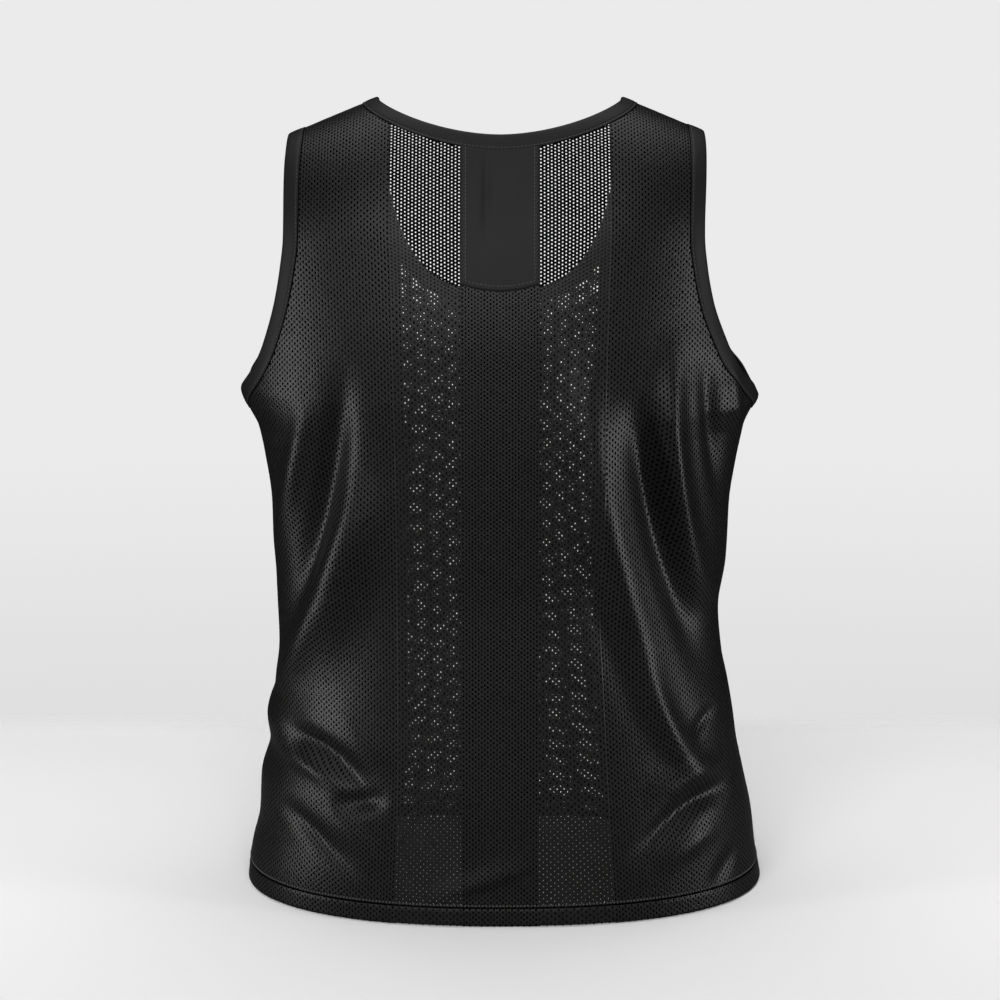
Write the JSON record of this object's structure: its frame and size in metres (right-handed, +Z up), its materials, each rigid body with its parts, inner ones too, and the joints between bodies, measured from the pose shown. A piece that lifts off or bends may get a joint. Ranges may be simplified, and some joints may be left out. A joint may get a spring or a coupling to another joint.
{
  "type": "pinnie",
  "caption": "Sleeveless mesh training top, filled out as if worn, with bound neck and armholes, a turned hem and a plain patch on the upper back.",
  "frame": {"origin": "midway between the two points where the neck meets the shoulder ridge, where the wearer's shoulders hold it", "axes": "+Z up, +Y the way the wearer faces, +X the wearer's right"},
  "size_m": [0.464, 0.289, 0.699],
  "materials": {
    "mesh_knit": "black warp-knit mesh",
    "binding_knit": "smooth black knit tape",
    "plain_knit": "smooth black knit"
  },
  "bodies": {
    "root": {"back_panel": "mesh_knit", "front_panel": "mesh_knit", "neck_binding": "binding_knit", "armhole_binding_left": "binding_knit", "armhole_binding_right": "binding_knit", "back_patch": "plain_knit"}
  },
  "joints": []
}
